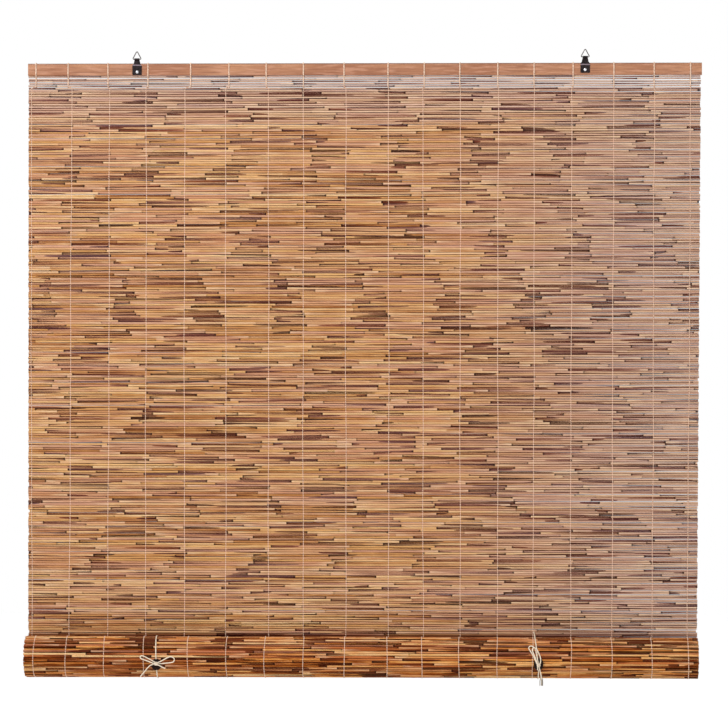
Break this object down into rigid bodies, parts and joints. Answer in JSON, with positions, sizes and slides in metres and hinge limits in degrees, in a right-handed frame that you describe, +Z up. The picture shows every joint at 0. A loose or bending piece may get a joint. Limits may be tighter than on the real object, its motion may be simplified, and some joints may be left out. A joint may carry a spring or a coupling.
{
  "type": "reed roll up blind",
  "caption": "Roll up window blind of natural reeds bound by warp threads, with a wooden top lath, two ring hangers and its lower part rolled up and tied.",
  "frame": {"origin": "midway between the two points where the hanger rings bear on their hooks", "axes": "X along the width, +Y away from the viewer, +Z up"},
  "size_m": [1.2108, 0.0901, 1.1341],
  "materials": {
    "lath_wood": "stained, satin",
    "reed": "natural reed, waxy, streaked dark brown",
    "warp_thread": "twisted cotton",
    "dark_steel": "dark bronzed sheet steel",
    "screw_steel": "bright zinc",
    "zinc_wire": "galvanised wire",
    "toggle_plastic": "moulded, satin",
    "tie_cord": "twisted cotton cord"
  },
  "bodies": {
    "head": {"top_lath": "lath_wood", "left_hanger_strap": "dark_steel", "right_hanger_strap": "dark_steel", "left_hanger_screw": "screw_steel", "right_hanger_screw": "screw_steel", "hanging_reed_mat": "reed", "warp_thread_01": "warp_thread", "warp_thread_02": "warp_thread", "warp_thread_03": "warp_thread", "warp_thread_04": "warp_thread", "warp_thread_05": "warp_thread", "warp_thread_06": "warp_thread", "warp_thread_07": "warp_thread", "warp_thread_08": "warp_thread", "warp_thread_09": "warp_thread", "warp_thread_10": "warp_thread", "warp_thread_11": "warp_thread", "warp_thread_12": "warp_thread", "warp_thread_13": "warp_thread", "warp_thread_14": "warp_thread", "warp_thread_15": "warp_thread", "warp_thread_16": "warp_thread", "warp_thread_17": "warp_thread", "warp_thread_18": "warp_thread"},
    "left_ring": {"left_ring": "zinc_wire"},
    "right_ring": {"right_ring": "zinc_wire"},
    "roll": {"reed_roll": "reed", "bottom_lath": "lath_wood", "roll_thread_01": "warp_thread", "roll_thread_02": "warp_thread", "roll_thread_03": "warp_thread", "roll_thread_04": "warp_thread", "roll_thread_05": "warp_thread", "roll_thread_06": "warp_thread", "roll_thread_07": "warp_thread", "roll_thread_08": "warp_thread", "roll_thread_09": "warp_thread", "roll_thread_10": "warp_thread", "roll_thread_11": "warp_thread", "roll_thread_12": "warp_thread", "roll_thread_13": "warp_thread", "roll_thread_14": "warp_thread", "roll_thread_15": "warp_thread", "roll_thread_16": "warp_thread", "roll_thread_17": "warp_thread", "roll_thread_18": "warp_thread", "left_tie_loop": "tie_cord", "left_tie_toggle": "toggle_plastic", "left_tie_knot": "tie_cord", "left_bow_cord_a": "tie_cord", "left_bow_cord_b": "tie_cord", "right_tie_loop": "tie_cord", "right_tie_toggle": "toggle_plastic", "right_tie_knot": "tie_cord", "right_bow_cord_a": "tie_cord", "right_bow_cord_b": "tie_cord"}
  },
  "joints": [
    {"name": "left_ring_swing", "type": "hinge", "parent": "head", "child": "left_ring", "pos_m": [-0.4025, -0.00598, -0.01406], "axis": [1, 0, 0], "range_deg": [-90, 150]},
    {"name": "right_ring_swing", "type": "hinge", "parent": "head", "child": "right_ring", "pos_m": [0.4025, -0.00598, -0.01106], "axis": [1, 0, 0], "range_deg": [-90, 150]},
    {"name": "roll_lift", "type": "slide", "parent": "head", "child": "roll", "axis": [0, 0, 1], "range_m": [0, 0.995], "deforming": ["hanging_reed_mat", "warp_thread_01", "warp_thread_02", "warp_thread_03", "warp_thread_04", "warp_thread_05", "warp_thread_06", "warp_thread_07", "warp_thread_08", "warp_thread_09", "warp_thread_10", "warp_thread_11", "warp_thread_12", "warp_thread_13", "warp_thread_14", "warp_thread_15", "warp_thread_16", "warp_thread_17", "warp_thread_18"]}
  ]
}
